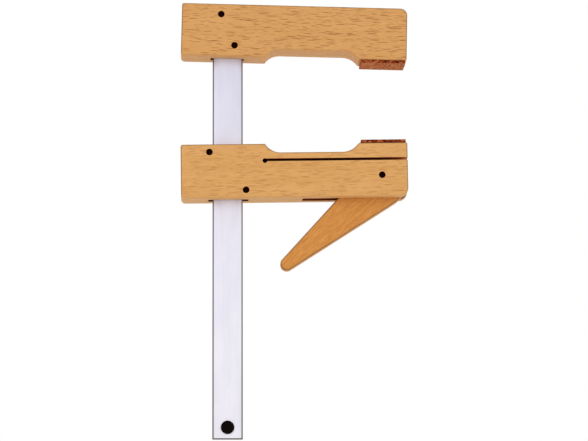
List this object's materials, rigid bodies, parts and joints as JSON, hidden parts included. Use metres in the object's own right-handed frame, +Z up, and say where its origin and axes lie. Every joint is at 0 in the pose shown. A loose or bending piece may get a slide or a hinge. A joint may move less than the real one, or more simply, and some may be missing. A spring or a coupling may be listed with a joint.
{
  "type": "wooden cam clamp",
  "caption": "Light wooden cam clamp: two beech arms on a flat steel rail, cork jaw pads and a wooden cam lever that lifts the lower jaw.",
  "frame": {"origin": "centre of the fixed jaw's cork face", "axes": "+Z up along the rail, +X from the rail towards the jaws, +Y across the arms into the picture"},
  "size_m": [0.1507, 0.022, 0.2902],
  "materials": {
    "beech": "planed and sanded beech, thinly sealed",
    "lever_beech": "sanded beech, a little more orange",
    "cork": "coarse granular cork, matt",
    "rail_steel": "bright zinc plated, satin",
    "pin_steel": "dark oiled steel",
    "stop_black": "matt black"
  },
  "bodies": {
    "rail_body": {"rail": "rail_steel", "rail_end_stop": "stop_black", "fixed_arm": "beech", "fixed_arm_pin_upper": "pin_steel", "fixed_arm_pin_lower": "pin_steel", "fixed_jaw_cork": "cork"},
    "sliding_body": {"sliding_arm": "beech", "guide_pin_upper": "pin_steel", "guide_pin_lower": "pin_steel", "lever_pivot_pin": "pin_steel"},
    "tongue_body": {"flex_tongue": "beech", "sliding_jaw_cork": "cork"},
    "lever_body": {"cam_lever": "lever_beech"}
  },
  "joints": [
    {"name": "arm_slide", "type": "slide", "parent": "rail_body", "child": "sliding_body", "axis": [0, 0, 1], "range_m": [-0.1463, 0.0452]},
    {"name": "lever_turn", "type": "hinge", "parent": "sliding_body", "child": "lever_body", "pos_m": [-0.00085, 0, -0.07551], "axis": [0, -1, 0], "range_deg": [0, 90]},
    {"name": "tongue_flex", "type": "hinge", "parent": "sliding_body", "child": "tongue_body", "pos_m": [-0.05625, 0, -0.06034], "axis": [0, -1, 0], "range_deg": [0, 4.7]}
  ],
  "couplings": [
    {"joint": "tongue_flex", "follows": "lever_turn", "ratio": 0.052222}
  ]
}
